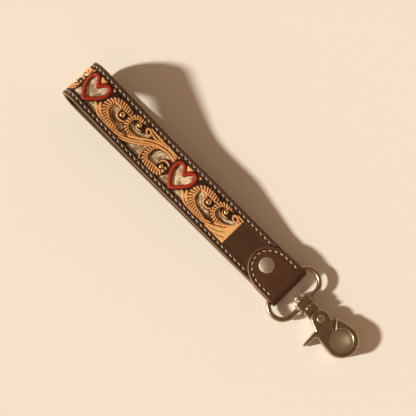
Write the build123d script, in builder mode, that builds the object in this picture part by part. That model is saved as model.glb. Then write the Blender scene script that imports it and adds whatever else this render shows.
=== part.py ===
# Wristlet keychain: a stitched leather strap folded into a wrist loop, its two
# ends held in a riveted leather tab, and an oval ring with a swivelling snap
# hook whose jaw opens when its trigger is pressed.
#
# Millimetres. +X runs from the fold of the loop to the hook, +Z is up, and the
# origin is on the table under the middle of the whole keychain.

import os
from math import acos, atan2, cos, degrees, pi, radians, sin, sqrt

from build123d import *

os.makedirs("parts", exist_ok=True)

# ---- strap layers --------------------------------------------------------
strap_width = 25.4
lining_thickness = 1.0
outer_thickness = 1.6
hide_thickness = 0.6
panel_thickness = 1.1
border_width = 3.9  # of the outer leather, each side of the inlay's window
panel_gap = 0.1  # all round the inlay, inside its window
panel_to_strap_end = 34.1

# ---- wrist loop ----------------------------------------------------------
loop_length = 158.4  # outside of the fold to the strap's ends
ply_gap = 0.1  # between the two plies inside the tab
fold_radius = 11.0  # outer face of the strap
sag_height = 12.0  # of the upper ply's outer face where the loop runs level
fall_share = 0.5  # of the free loop, spent coming down from the fold
approach_share = 0.38  # of the free loop, spent coming down to the tab
softness = 0.62  # 1 leaves no straight run between two bends
lower_approach_run = 21.6

# ---- brass studs ---------------------------------------------------------
stud_height = 0.9
stud_rim = 0.2
stud_shank_radius = 0.6
stud_hole_gap = 0.05
stud_end_gap = 0.1
large_stud_radius = 1.5
small_stud_radius = 1.25
pattern_repeat = 68.8
pattern_start = 20.9  # outermost line of the fold to the first heart
# Stud places in one repeat: distance past the heart, across, radius
stud_places = [
    (21.0, 1.9, large_stud_radius),
    (31.9, 4.8, small_stud_radius),
    (56.8, -2.5, small_stud_radius),
]
stud_end_margin = 2.0

# ---- stitching -----------------------------------------------------------
stitch_inset = 2.4
thread_width = 0.7
thread_height = 0.25

# ---- end tab and its rivet -----------------------------------------------
tab_overhang = 0.2  # past each edge of the strap
tab_thickness = 1.3
tab_overlap = 18.1  # of the tab over the strap's ends
tab_tip_length = 15.5  # of the half ellipse that ends each flap
tab_bend_radius = 6.0
tab_stitch_length = 25.0  # from the tip towards the fold
strap_end_to_nose = 6.8  # to the centre of the tab's fold
rivet_from_strap_end = 7.9
cap_radius = 4.5
cap_height = 1.0
back_cap_height = 0.8
cap_rim = 0.3
cap_level_margin = 0.5
post_radius = 1.75
post_gap = 0.05
post_socket_depth = 0.4

# ---- ring ----------------------------------------------------------------
ring_wire_radius = 1.45
ring_beside_tab = 5.5  # past each edge of the tab, to the ring's outside
ring_depth = 15.35  # between the centres of its two bars
ring_swing_gap = 0.15  # round the bar's bent ends, inside the tab's fold
bar_behind_nose = 1.0
boss_length = 5.0
boss_width = 9.5
boss_height = 6.8
boss_fillet = 1.2

# ---- swivel --------------------------------------------------------------
pin_radius = 2.0
pin_running_gap = 0.05
pin_head_overhang = 1.2
pin_head_length = 3.0
pin_head_chamfer = 0.3
pin_head_gap = 0.15
pin_depth_in_hook = 2.5
collar_gap = 1.1

# ---- hook ----------------------------------------------------------------
hook_thickness = 6.4
collar_length = 2.3
collar_width = 9.0
collar_fillet = 1.2
neck_length = 0.55
neck_width = 7.4
collar_to_pivot = 6.2
pivot_to_opening = 9.8
eye_offset = -0.45  # of the eye's centre across the swivel axis
eye_radius = 6.15
eye_wall = 3.25
mouth_angle = 13.4  # of the line where the two jaws meet
mouth_gap = 0.12
jaw_point_ahead = 5.6  # of the pivot
jaw_point_side = 6.6
jaw_heel_ahead = 10.2
jaw_heel_side = 0.85
lug_radius = 4.8
lug_link_angles = (53.0, -25.5)  # where the lug's link to the jaw leaves it
lug_link_shares = (0.18, 0.7)  # where the link meets the jaw's cut edge
plate_radius = 5.2
plate_back_angle = 233.0  # where the plate's straight back edge leaves its round
plate_corner = 6.9  # where the thumb tab leaves the plate
plate_shoulder_radius = 7.9  # the plate passes inside the fixed jaw's cut
plate_shoulder_side = 1.56
plate_cheek = (3.9, 4.42)  # ahead of the pivot, and to its side
plate_inner_angle = 178.0  # where the plate's inner edge meets the opening
layer_gap = 0.1  # between the lever's plate and the lug under it
sweep_gap = 0.35  # between the lug and the lever's thick part
hook_chamfer = 0.5

thumb_ahead = 3.65  # of the pivot, to the middle of the thumb tab
thumb_reach = 16.8
thumb_width = 2.3
thumb_tip_width = 1.5
thumb_root = 8.6
thumb_fillet = 1.4
thumb_tip_fillet = 0.45

pivot_radius = 1.6
pivot_running_gap = 0.05
pivot_head_overhang = 0.5
pivot_head_height = 0.5
pivot_head_chamfer = 0.3
pivot_head_gap = 0.08
spring_wire_radius = 0.28
spring_round_pivot = 0.42  # between the pivot and the coil
spring_pitch = 0.62
spring_turns = 2.0
spring_gap = 0.15

# ---- heights and places that follow --------------------------------------
panel_rise = hide_thickness + panel_thickness - outer_thickness
table_gap = stud_height + panel_rise  # the lower ply rests on its studs
outer_at_tab = back_cap_height + tab_thickness
lower_line = outer_at_tab + outer_thickness  # of the layers, inside the tab
upper_line = lower_line + 2 * lining_thickness + ply_gap
strap_top = upper_line + outer_thickness  # inside the tab
tab_top = strap_top + tab_thickness

panel_width = strap_width - 2 * border_width
tab_width = strap_width + 2 * tab_overhang
ring_width = tab_width + 2 * ring_beside_tab
lobe_radius = ring_depth / 2
lobe_y = ring_width / 2 - ring_wire_radius - lobe_radius
# How far the wire of the bar's bent end comes from the bar's axis, at the tab's edge
bent_reach = lobe_radius - sqrt(
    (lobe_radius - ring_wire_radius) ** 2 - (tab_width / 2 - lobe_y) ** 2
)
nose_inner_radius = bent_reach + ring_swing_gap
nose_radius = nose_inner_radius - outer_thickness  # on the strap's layer line
axis_z = nose_inner_radius + tab_thickness

pivot_to_eye = pivot_to_opening + eye_radius
overall_length = (
    loop_length
    + strap_end_to_nose
    - bar_behind_nose
    + ring_depth
    + boss_length / 2
    + collar_gap
    + collar_length
    + collar_to_pivot
    + pivot_to_eye
    + eye_radius
    + eye_wall
)
fold_x = -overall_length / 2
strap_end = fold_x + loop_length
panel_end = strap_end - panel_to_strap_end
rivet_x = strap_end - rivet_from_strap_end
tab_tip = strap_end - tab_overlap
nose_x = strap_end + strap_end_to_nose
bar_x = nose_x - bar_behind_nose
front_x = bar_x + ring_depth
collar_x = front_x + boss_length / 2 + collar_gap
pivot_x = collar_x + collar_length + collar_to_pivot
eye_x = pivot_x + pivot_to_eye
level_x = rivet_x - cap_radius - cap_level_margin


# ---- a strip's path, seen from the side ----------------------------------
# A path is a list of stretches: (length, 0) is a straight run, and
# (radius, degrees) is a bend, to the left where the degrees are positive.
def join(run, drop, first_radius, last_radius):
    # Angle and straight length from a bend that starts level to a circle whose
    # centre is run ahead and drop below. A radius below zero curves away.
    across = drop - first_radius
    apart = first_radius - last_radius
    straight = sqrt(run**2 + across**2 - apart**2)
    angle = atan2(across, run) + atan2(apart, straight)
    return degrees(angle), straight


def step(run, drop, first_radius, second_radius, toward):
    # Two opposite bends that leave the strip level, one drop lower
    angle, straight = join(run, drop - second_radius, first_radius, -second_radius)
    return [
        (first_radius, toward * angle),
        (straight, 0),
        (second_radius, -toward * angle),
    ]


def widest_bends(run, drop):
    # Sum of the two radii that would leave no straight run in a step
    return (run**2 + drop**2) / (2 * drop)


def draw_side(start, heading, stretches, away):
    # The path's lines and arcs, moved outwards by away
    direction = Vector(1, 0).rotate(Axis.Z, heading)
    point = Vector(*start) + direction.rotate(Axis.Z, 90) * away
    ends = [point]
    for size, turn in stretches:
        if turn == 0:
            edge = Line(point, point + direction * size)
        else:
            radius = size + away if turn < 0 else size - away
            edge = JernArc(start=point, tangent=direction, radius=radius, arc_size=turn)
            direction = direction.rotate(Axis.Z, turn)
        point = edge @ 1
    ends.append(point)
    return ends


def strip(path, near, far, width):
    # Adds a layer of a strip to the part being built, between two distances
    # outwards from the strip's line
    start, heading, stretches = path
    with BuildSketch(Plane.XZ.offset(-width / 2)) as face:
        with BuildLine():
            near_ends = draw_side(start, heading, stretches, near)
            far_ends = draw_side(start, heading, stretches, far)
            Line(near_ends[0], far_ends[0])
            Line(near_ends[1], far_ends[1])
        make_face()
    extrude(face.sketch, amount=width)


# The strap: along the lower ply from its end, round the fold, and back along
# the upper ply. The line is where the lining meets the outer leather.
free_run = level_x - (fold_x + fold_radius)
fall_run = fall_share * free_run
approach_run = approach_share * free_run
layer_fold_radius = fold_radius - outer_thickness
fold_drop = table_gap + 2 * fold_radius - sag_height
sag_drop = sag_height - strap_top
fall_radius = softness * (widest_bends(fall_run, fold_drop) - layer_fold_radius)
approach_radius = softness * widest_bends(approach_run, sag_drop) / 2
lower_drop = outer_at_tab - table_gap
lower_radius = softness * widest_bends(lower_approach_run, lower_drop) / 2

lower_approach = step(lower_approach_run, lower_drop, lower_radius, lower_radius, 1)
fall = step(fall_run, fold_drop, layer_fold_radius, fall_radius, -1)
upper_approach = step(approach_run, sag_drop, approach_radius, approach_radius, -1)
fold_to_crown = (layer_fold_radius, fall[0][1] - 180)
level_run = free_run - fall_run - approach_run
held_run = strap_end - level_x
strap_path = (
    (strap_end, lower_line),
    180,
    [(held_run, 0)]
    + lower_approach
    + [(free_run - lower_approach_run, 0), fold_to_crown]
    + fall[1:]
    + [(level_run, 0)]
    + upper_approach
    + [(held_run, 0)],
)


def flap(drop):
    # From a flap's end to the nose: a flap bends in towards a nose narrower than
    # the strap's ends, and out towards a wider one
    bend = tab_bend_radius if drop > nose_radius else -tab_bend_radius
    return join(strap_end_to_nose, drop, bend, nose_radius)


upper_nose = flap(upper_line - axis_z)
lower_nose = flap(axis_z - lower_line)
# The tab: along its upper flap, round its nose and back under the strap.
tab_path = (
    (level_x - approach_run, sag_height - outer_thickness),
    0,
    upper_approach
    + [(held_run, 0), (tab_bend_radius, -upper_nose[0]), (upper_nose[1], 0)]
    + [(nose_radius, upper_nose[0] + lower_nose[0] - 180)]
    + [(lower_nose[1], 0), (tab_bend_radius, -lower_nose[0]), (held_run, 0)]
    + lower_approach,
)

print("axis height", round(axis_z, 2), "overall length", round(overall_length, 1))
print("upper ply falls at", round(-fall[0][1], 1), "degrees, bends", round(fall_radius))
print("nose radius inside", round(nose_inner_radius, 2), "lobe at", round(lobe_y, 2))


def stud_planes(low, high):
    # Where the studs between two distances from the fold sit, and their radii
    surface = outer_thickness + panel_rise
    with BuildLine() as skin:
        draw_side(*strap_path, surface)
    wire = skin.wires()[0]
    quarter = (layer_fold_radius + surface) * pi / 2
    lower = held_run + free_run - lower_approach_run
    for size, turn in lower_approach:
        side = size - surface if turn > 0 else size + surface
        lower += size if turn == 0 else side * radians(abs(turn))
    middle = lower + quarter
    planes = []
    for repeat in range(-3, 3):
        for past_heart, across, radius in stud_places:
            along = pattern_start + repeat * pattern_repeat + past_heart
            if not low <= along <= high:
                continue
            point = wire.position_at(middle + along, PositionMode.LENGTH)
            tangent = wire.tangent_at(middle + along, PositionMode.LENGTH)
            origin = (point.X, across, point.Y)
            outward = (-tangent.Y, 0, tangent.X)
            planes.append((Plane(origin=origin, z_dir=outward), radius))
    return planes


panel_reach = panel_end - fold_x - stud_end_margin
front_places = stud_planes(0, panel_reach)
back_places = stud_planes(-panel_reach, 0)
stud_depth = hide_thickness + panel_thickness


def drill_studs():
    for plane, radius in front_places + back_places:
        with Locations(plane):
            Cylinder(
                radius=stud_shank_radius + stud_hole_gap,
                height=3 * stud_depth,
                mode=Mode.SUBTRACT,
            )


def drill_rivet():
    with Locations((rivet_x, 0, 0)):
        Cylinder(
            radius=post_radius + post_gap,
            height=4 * tab_top,
            mode=Mode.SUBTRACT,
        )


def behind_panel_end(width):
    # Room for the inlay: the strap's length from the fold to the panel's end
    Box(
        panel_end - fold_x + stud_depth,
        width,
        4 * fold_radius,
        align=(Align.MAX, Align.CENTER, Align.CENTER),
        mode=Mode.INTERSECT,
    )


# ---- strap_lining --------------------------------------------------------
with BuildPart() as strap_lining:
    strip(strap_path, -lining_thickness, 0, strap_width)
    drill_rivet()

# ---- hide_inlay and tooled_panel -----------------------------------------
with BuildPart() as hide_inlay:
    strip(strap_path, 0, hide_thickness, panel_width)
    with Locations((panel_end, 0, fold_radius)):
        behind_panel_end(panel_width)
    drill_studs()

with BuildPart() as tooled_panel:
    strip(strap_path, hide_thickness, hide_thickness + panel_thickness, panel_width)
    with Locations((panel_end, 0, fold_radius)):
        behind_panel_end(panel_width)
    drill_studs()

# ---- strap_outer: the border leather, with a window for the inlay ---------
window_end = panel_end + panel_gap
with BuildPart() as panel_window:
    strip(strap_path, -panel_gap, outer_thickness + panel_gap, panel_width + 2 * panel_gap)
    with Locations((window_end, 0, fold_radius)):
        behind_panel_end(panel_width + 2 * panel_gap)

with BuildPart() as strap_outer:
    strip(strap_path, 0, outer_thickness, strap_width)
    add(panel_window.part, mode=Mode.SUBTRACT)
    drill_rivet()


# ---- front_studs and back_studs ------------------------------------------
def make_stud(radius):
    # A domed head over a shank that reaches down through the panel
    with BuildPart() as stud:
        with BuildSketch(Plane.XZ):
            with BuildLine():
                TangentArc((0, stud_height), (radius, stud_rim), tangent=(1, 0))
                Polyline(
                    (radius, stud_rim),
                    (radius, 0),
                    (stud_shank_radius, 0),
                    (stud_shank_radius, stud_end_gap - stud_depth),
                    (0, stud_end_gap - stud_depth),
                    (0, stud_height),
                )
            make_face()
        revolve(axis=Axis.Z)
    return stud.part


def make_studs(places):
    studs = [(plane, make_stud(radius)) for plane, radius in places]
    with BuildPart() as group:
        for plane, stud in studs:
            with Locations(plane):
                add(stud)
        add(tooled_panel.part, mode=Mode.SUBTRACT)
    return group


front_studs = make_studs(front_places)
back_studs = make_studs(back_places)
print("studs", len(front_places), len(back_places))


# ---- end_tab -------------------------------------------------------------
def tab_outline(inset):
    half = tab_width / 2 - inset
    tip = tab_tip_length - inset
    shoulder = tab_tip + tab_tip_length
    with BuildSketch(Plane.XY) as outline:
        with Locations((shoulder, 0)):
            Ellipse(tip, half)
            Rectangle(overall_length, 2 * half, align=(Align.MIN, Align.CENTER))
    return outline.sketch


with BuildPart() as end_tab:
    strip(tab_path, outer_thickness, outer_thickness + tab_thickness, tab_width)
    add(tab_outline(0))
    extrude(amount=2 * tab_top, mode=Mode.INTERSECT)
    drill_rivet()

# ---- edge_stitching ------------------------------------------------------
stitch_y = strap_width / 2 - stitch_inset
with BuildPart() as edge_stitching:
    strip(strap_path, outer_thickness, outer_thickness + thread_height, 2 * stitch_y + thread_width)
    with Locations((0, 0, fold_radius)):
        Box(
            2 * overall_length,
            2 * stitch_y - thread_width,
            4 * fold_radius,
            mode=Mode.SUBTRACT,
        )
    add(end_tab.part, mode=Mode.SUBTRACT)
    drill_rivet()

# ---- tab_stitching -------------------------------------------------------
tab_outer = outer_thickness + tab_thickness
with BuildPart() as tab_stitching:
    strip(tab_path, tab_outer, tab_outer + thread_height, tab_width)
    with BuildSketch(Plane.XY.offset(-tab_top)):
        Rectangle(2 * overall_length, 2 * tab_width)
        add(tab_outline(stitch_inset - thread_width / 2), mode=Mode.SUBTRACT)
        add(tab_outline(stitch_inset + thread_width / 2))
        with Locations((tab_tip + tab_stitch_length, 0)):
            Rectangle(
                overall_length,
                2 * tab_width,
                align=(Align.MIN, Align.CENTER),
            )
    extrude(amount=3 * tab_top, mode=Mode.SUBTRACT)

# ---- rivet_post, rivet_cap and rivet_back_cap -----------------------------
with BuildPart() as rivet_post:
    with BuildSketch(Plane.XY.offset(back_cap_height - post_socket_depth)):
        with Locations((rivet_x, 0)):
            Circle(post_radius)
    extrude(amount=tab_top - back_cap_height + 2 * post_socket_depth)


def make_cap(height, face_z, up):
    # A shallow dome with a socket for the post, flat against the tab
    with BuildPart() as cap:
        with BuildSketch(Plane.XZ):
            with BuildLine():
                TangentArc(
                    (rivet_x, face_z + up * height),
                    (rivet_x + cap_radius, face_z + up * cap_rim),
                    tangent=(1, 0),
                )
                Polyline(
                    (rivet_x + cap_radius, face_z + up * cap_rim),
                    (rivet_x + cap_radius, face_z),
                    (rivet_x + post_radius, face_z),
                    (rivet_x + post_radius, face_z + up * post_socket_depth),
                    (rivet_x, face_z + up * post_socket_depth),
                    (rivet_x, face_z + up * height),
                )
            make_face()
        revolve(axis=Axis((rivet_x, 0, 0), (0, 0, 1)))
    return cap


rivet_cap = make_cap(cap_height, tab_top, 1)
rivet_back_cap = make_cap(back_cap_height, back_cap_height, -1)

# ---- oval_ring -----------------------------------------------------------
bar_ends = Plane(origin=(bar_x, -lobe_y, axis_z), z_dir=(0, 1, 0))
front_ends = Plane(origin=(front_x, -lobe_y, axis_z), z_dir=(0, 1, 0))
lobe_x = bar_x + lobe_radius
with BuildPart() as boss:
    with Locations((front_x, 0, axis_z)):
        Box(boss_length, boss_width, boss_height)
    fillet(boss.edges().filter_by(Axis.X), boss_fillet)

with BuildPart() as oval_ring:
    with BuildSketch(bar_ends, front_ends):
        Circle(ring_wire_radius)
    extrude(amount=2 * lobe_y)
    for side in (-1, 1):
        with BuildSketch(Plane(origin=(bar_x, side * lobe_y, axis_z), z_dir=(0, 1, 0))):
            Circle(ring_wire_radius)
        revolve(
            axis=Axis((lobe_x, side * lobe_y, axis_z), (0, 0, -side)),
            revolution_arc=180,
        )
    add(boss.part)
    with BuildSketch(Plane(origin=(lobe_x, 0, axis_z), z_dir=(1, 0, 0))):
        Circle(pin_radius + pin_running_gap)
    extrude(amount=ring_depth, mode=Mode.SUBTRACT)

# ---- swivel_pin ----------------------------------------------------------
pin_head_radius = pin_radius + pin_head_overhang
boss_inner_x = front_x - boss_length / 2
head_x = boss_inner_x - pin_head_gap - pin_head_length
pin_end = collar_x + pin_depth_in_hook
with BuildPart() as swivel_pin:
    with BuildSketch(Plane(origin=(head_x, 0, axis_z), z_dir=(1, 0, 0))):
        Circle(pin_head_radius)
    extrude(amount=pin_head_length)
    chamfer(swivel_pin.edges(), pin_head_chamfer)
    with BuildSketch(Plane(origin=(head_x, 0, axis_z), z_dir=(1, 0, 0))):
        Circle(pin_radius)
    extrude(amount=pin_end - head_x)


# ---- the hook's outlines, seen from above --------------------------------
def from_pivot(ahead, side):
    return (pivot_x + ahead, side)


def on_eye(radius, angle):
    turn = radians(angle)
    return (eye_x + radius * cos(turn), eye_offset + radius * sin(turn))


def round_pivot(radius, angle):
    turn = radians(angle)
    return from_pivot(radius * cos(turn), radius * sin(turn))


def touch_angle(point, radius, side):
    # Angle on the eye's circle where a line from the point touches it
    ahead = point[0] - eye_x
    across = point[1] - eye_offset
    opening = degrees(acos(radius / sqrt(ahead**2 + across**2)))
    return degrees(atan2(across, ahead)) + side * opening


def along_cut(share):
    # A point on the fixed jaw's cut edge, from its point to its heel
    ahead = jaw_point_ahead + share * (jaw_heel_ahead - jaw_point_ahead)
    side = jaw_point_side + share * (jaw_heel_side - jaw_point_side)
    return from_pivot(ahead, side)


hook_end_radius = eye_radius + eye_wall
hook_low = axis_z - hook_thickness / 2
hook_high = axis_z + hook_thickness / 2
lug_high = axis_z - layer_gap / 2
plate_low = axis_z + layer_gap / 2
far = 4 * hook_end_radius
jaw_point = from_pivot(jaw_point_ahead, jaw_point_side)
jaw_heel = from_pivot(jaw_heel_ahead, jaw_heel_side)
jaw_touch = on_eye(hook_end_radius, touch_angle(jaw_point, hook_end_radius, -1))
mouth_half = mouth_gap / 2 / eye_radius
# The spring's pocket, shared by the lug and the plate over it
spring_coil_radius = pivot_radius + spring_round_pivot + spring_wire_radius
coil_height = spring_pitch * spring_turns
pocket_radius = spring_coil_radius + spring_wire_radius + spring_gap
pocket_depth = coil_height / 2 + spring_wire_radius + spring_gap


def eye_ring():
    with Locations((eye_x, eye_offset)):
        Circle(hook_end_radius)


def cut_eye():
    with Locations((eye_x, eye_offset)):
        Circle(eye_radius, mode=Mode.SUBTRACT)


def bevel_rims(piece, size):
    # Bevel the outer edges of the hook's two flat sides
    for side in (-1, 0):
        face = piece.faces().filter_by(Axis.Z).sort_by(Axis.Z)[side]
        chamfer(face.outer_wire().edges(), size)


# ---- hook_frame: neck, lug under the lever, and the fixed jaw -------------
with BuildPart() as collar:
    with Locations((collar_x + collar_length / 2, 0, axis_z)):
        Box(collar_length, collar_width, hook_thickness)
    fillet(collar.edges().filter_by(Axis.X), collar_fillet)

with BuildPart() as hook_frame:
    with BuildSketch(Plane.XY.offset(hook_low)):
        eye_ring()
        with BuildLine():
            Polyline(jaw_point, jaw_touch, (eye_x, eye_offset), jaw_heel, close=True)
        make_face()
        cut_eye()
        with BuildLine():
            Polyline(
                (eye_x, eye_offset),
                on_eye(far, mouth_angle + degrees(mouth_half)),
                on_eye(far, 90),
                (jaw_point[0], far),
                jaw_point,
                jaw_heel,
                close=True,
            )
        make_face(mode=Mode.INTERSECT)
    extrude(amount=hook_thickness)
    bevel_rims(hook_frame, hook_chamfer)
    with BuildSketch(Plane.XY.offset(hook_low)):
        with Locations((pivot_x, 0)):
            Circle(lug_radius)
        with BuildLine():
            Polyline(
                round_pivot(lug_radius, lug_link_angles[0]),
                along_cut(lug_link_shares[0]),
                along_cut(lug_link_shares[1]),
                round_pivot(lug_radius, lug_link_angles[1]),
                close=True,
            )
        make_face()
        with Locations((collar_x + collar_length, 0)):
            Rectangle(
                collar_to_pivot,
                neck_width,
                align=(Align.MIN, Align.CENTER),
            )
    extrude(amount=lug_high - hook_low)
    with Locations((collar_x + collar_length, 0, axis_z)):
        Box(
            neck_length,
            neck_width,
            hook_thickness,
            align=(Align.MIN, Align.CENTER, Align.CENTER),
        )
    add(collar.part)
    with BuildSketch(Plane(origin=(collar_x, 0, axis_z), z_dir=(1, 0, 0))):
        Circle(pin_radius)
    extrude(amount=pin_depth_in_hook, mode=Mode.SUBTRACT)
    with Locations((pivot_x, 0, axis_z)):
        Cylinder(pivot_radius, 2 * hook_thickness, mode=Mode.SUBTRACT)
        Cylinder(pocket_radius, 2 * pocket_depth, mode=Mode.SUBTRACT)

# ---- trigger_lever: plate, thumb tab and the moving jaw -------------------
root_left = from_pivot(thumb_ahead - thumb_width / 2, -thumb_root)
plate_edge = from_pivot(thumb_ahead - thumb_width / 2, -plate_corner)
plate_touch = round_pivot(plate_radius, plate_back_angle)
root_right = from_pivot(thumb_ahead + thumb_width / 2, -thumb_root)
tip_left = from_pivot(thumb_ahead - thumb_tip_width / 2, -thumb_reach)
tip_right = from_pivot(thumb_ahead + thumb_tip_width / 2, -thumb_reach)
lever_touch = on_eye(hook_end_radius, touch_angle(root_right, hook_end_radius, 1))
plate_inner = on_eye(eye_radius, plate_inner_angle)


def lever_outline():
    with BuildSketch(Plane.XY) as outline:
        eye_ring()
        cut_eye()
        with BuildLine():
            Polyline(
                (eye_x, eye_offset),
                on_eye(far, mouth_angle - degrees(mouth_half)),
                on_eye(far, 0),
                (eye_x, -far),
                (pivot_x - far, -far),
                on_eye(far, plate_inner_angle),
                close=True,
            )
        make_face(mode=Mode.INTERSECT)
        with Locations((pivot_x, 0)):
            Circle(plate_radius)
        with BuildLine():
            Polyline(
                from_pivot(0, plate_radius),
                from_pivot(*plate_cheek),
                from_pivot(plate_shoulder_radius, plate_shoulder_side),
                plate_inner,
                (eye_x, eye_offset),
                lever_touch,
                root_right,
                tip_right,
                tip_left,
                root_left,
                plate_edge,
                plate_touch,
                close=True,
            )
        make_face()
        corners = outline.vertices()
        fillet(corners.sort_by_distance(root_right)[0], thumb_fillet)
        fillet(corners.sort_by_distance(tip_left)[:2], thumb_tip_fillet)
        cut_eye()
    return outline.sketch


with BuildPart() as trigger_lever:
    with BuildSketch(Plane.XY.offset(plate_low)):
        add(lever_outline())
    extrude(amount=hook_high - plate_low)
    with BuildSketch(Plane.XY.offset(hook_low)):
        add(lever_outline())
        with Locations((pivot_x, 0)):
            Circle(plate_shoulder_radius + sweep_gap, mode=Mode.SUBTRACT)
    extrude(amount=plate_low - hook_low)
    bevel_rims(trigger_lever, hook_chamfer)
    with Locations((pivot_x, 0, axis_z)):
        Cylinder(
            pivot_radius + pivot_running_gap,
            2 * hook_thickness,
            mode=Mode.SUBTRACT,
        )
        Cylinder(pocket_radius, 2 * pocket_depth, mode=Mode.SUBTRACT)

# ---- pivot_rivet ---------------------------------------------------------
pivot_head_radius = pivot_radius + pivot_head_overhang
head_low = hook_low - pivot_head_height
head_high = hook_high + pivot_head_gap
with BuildPart() as pivot_rivet:
    with BuildSketch(Plane.XY.offset(head_low)):
        with Locations((pivot_x, 0)):
            Circle(pivot_head_radius)
    extrude(amount=pivot_head_height)
    with BuildSketch(Plane.XY.offset(head_high)):
        with Locations((pivot_x, 0)):
            Circle(pivot_head_radius)
    extrude(amount=pivot_head_height)
    chamfer(pivot_rivet.edges().sort_by(Axis.Z)[0], pivot_head_chamfer)
    chamfer(pivot_rivet.edges().sort_by(Axis.Z)[-1], pivot_head_chamfer)
    with BuildSketch(Plane.XY.offset(hook_low)):
        with Locations((pivot_x, 0)):
            Circle(pivot_radius)
    extrude(amount=head_high - hook_low)

# ---- torsion_spring, in its pocket ----------------------------------------
coil_low = axis_z - coil_height / 2
with BuildPart() as torsion_spring:
    with BuildLine(Plane(origin=(pivot_x, 0, coil_low))) as coil:
        Helix(spring_pitch, coil_height, spring_coil_radius)
    with BuildSketch(Plane(origin=coil.line @ 0, z_dir=coil.line % 0)):
        Circle(spring_wire_radius)
    sweep(is_frenet=True)

# ---- files ---------------------------------------------------------------
pieces = {
    "strap_lining": strap_lining,
    "strap_outer": strap_outer,
    "hide_inlay": hide_inlay,
    "tooled_panel": tooled_panel,
    "front_studs": front_studs,
    "back_studs": back_studs,
    "edge_stitching": edge_stitching,
    "end_tab": end_tab,
    "tab_stitching": tab_stitching,
    "rivet_post": rivet_post,
    "rivet_cap": rivet_cap,
    "rivet_back_cap": rivet_back_cap,
    "oval_ring": oval_ring,
    "swivel_pin": swivel_pin,
    "hook_frame": hook_frame,
    "trigger_lever": trigger_lever,
    "pivot_rivet": pivot_rivet,
    "torsion_spring": torsion_spring,
}
for name, piece in pieces.items():
    piece.part.label = name
    export_step(piece.part, f"parts/{name}.step")
    print(name, len(piece.part.solids()), round(piece.part.volume, 1))
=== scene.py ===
from math import atan2, cos, degrees, pi, radians, sin, sqrt

import bpy
import numpy as np
from mathutils import Matrix, Vector, noise


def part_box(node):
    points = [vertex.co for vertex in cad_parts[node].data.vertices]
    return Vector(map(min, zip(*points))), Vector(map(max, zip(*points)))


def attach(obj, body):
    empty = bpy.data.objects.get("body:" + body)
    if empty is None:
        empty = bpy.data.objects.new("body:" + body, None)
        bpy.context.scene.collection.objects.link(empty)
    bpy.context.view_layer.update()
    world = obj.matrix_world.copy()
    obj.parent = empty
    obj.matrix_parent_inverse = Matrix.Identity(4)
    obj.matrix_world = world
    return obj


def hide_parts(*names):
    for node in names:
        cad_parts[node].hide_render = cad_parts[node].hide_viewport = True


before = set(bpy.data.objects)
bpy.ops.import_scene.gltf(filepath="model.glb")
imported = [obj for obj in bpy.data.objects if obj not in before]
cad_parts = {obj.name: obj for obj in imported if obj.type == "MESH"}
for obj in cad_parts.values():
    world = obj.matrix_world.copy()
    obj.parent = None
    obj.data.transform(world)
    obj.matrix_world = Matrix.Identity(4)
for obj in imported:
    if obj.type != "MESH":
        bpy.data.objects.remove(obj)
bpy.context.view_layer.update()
bpy.ops.object.select_all(action="DESELECT")

# Lengths in the dictionaries are millimetres, and so is every place until a mesh is
# finished, when it is scaled to metres


def span(node):
    low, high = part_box(node)
    return low * 1000, high * 1000


# ---- shader values and finishes


def linear(red, green, blue):
    # A colour as a screen shows it, 0 to 255, as light
    shares = [colour / 255 for colour in (red, green, blue)]
    return [((share + 0.055) / 1.055) ** 2.4 if share > 0.04 else share / 12.92 for share in shares]


room = {
    "sunElevation": 26.2,
    "sunHeading": (-0.545, -0.838),
    "sunColour": (1.0, 0.965, 0.885),
    "sunStrength": 5.0,
    "sunWidth": 5.0,
    "overhead": (0.19, 0.115, 0.065),
    "horizon": (0.95, 0.66, 0.42),
    "horizonShare": 2.0,
    "floor": (0.90, 0.85, 0.78),
}
sunOnTop = [room["sunStrength"] * c * sin(radians(room["sunElevation"])) / pi for c in room["sunColour"]]
fill = [a + (b - a) / 6 for a, b in zip(room["overhead"], room["horizon"])]
onTop = [sun + sky for sun, sky in zip(sunOnTop, fill)]


def pigment(red, green, blue):
    # The paint that looks like this colour where the light falls on it
    return [min(0.95, c / light) for c, light in zip(linear(red, green, blue), onTop)] + [1.0]


class Value:
    # A shader socket, so that maths on it reads as an expression

    def __init__(self, finish, socket):
        self.finish = finish
        self.socket = socket

    def math(self, operation, first, second):
        return self.finish.node("ShaderNodeMath", {"operation": operation}, {0: first, 1: second})

    def __add__(self, other):
        return self.math("ADD", self, other)

    def __sub__(self, other):
        return self.math("SUBTRACT", self, other)

    def __rsub__(self, other):
        return self.math("SUBTRACT", other, self)

    def __mul__(self, other):
        return self.math("MULTIPLY", self, other)

    def __pow__(self, other):
        return self.math("POWER", self, other)

    __radd__ = __add__
    __rmul__ = __mul__


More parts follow.
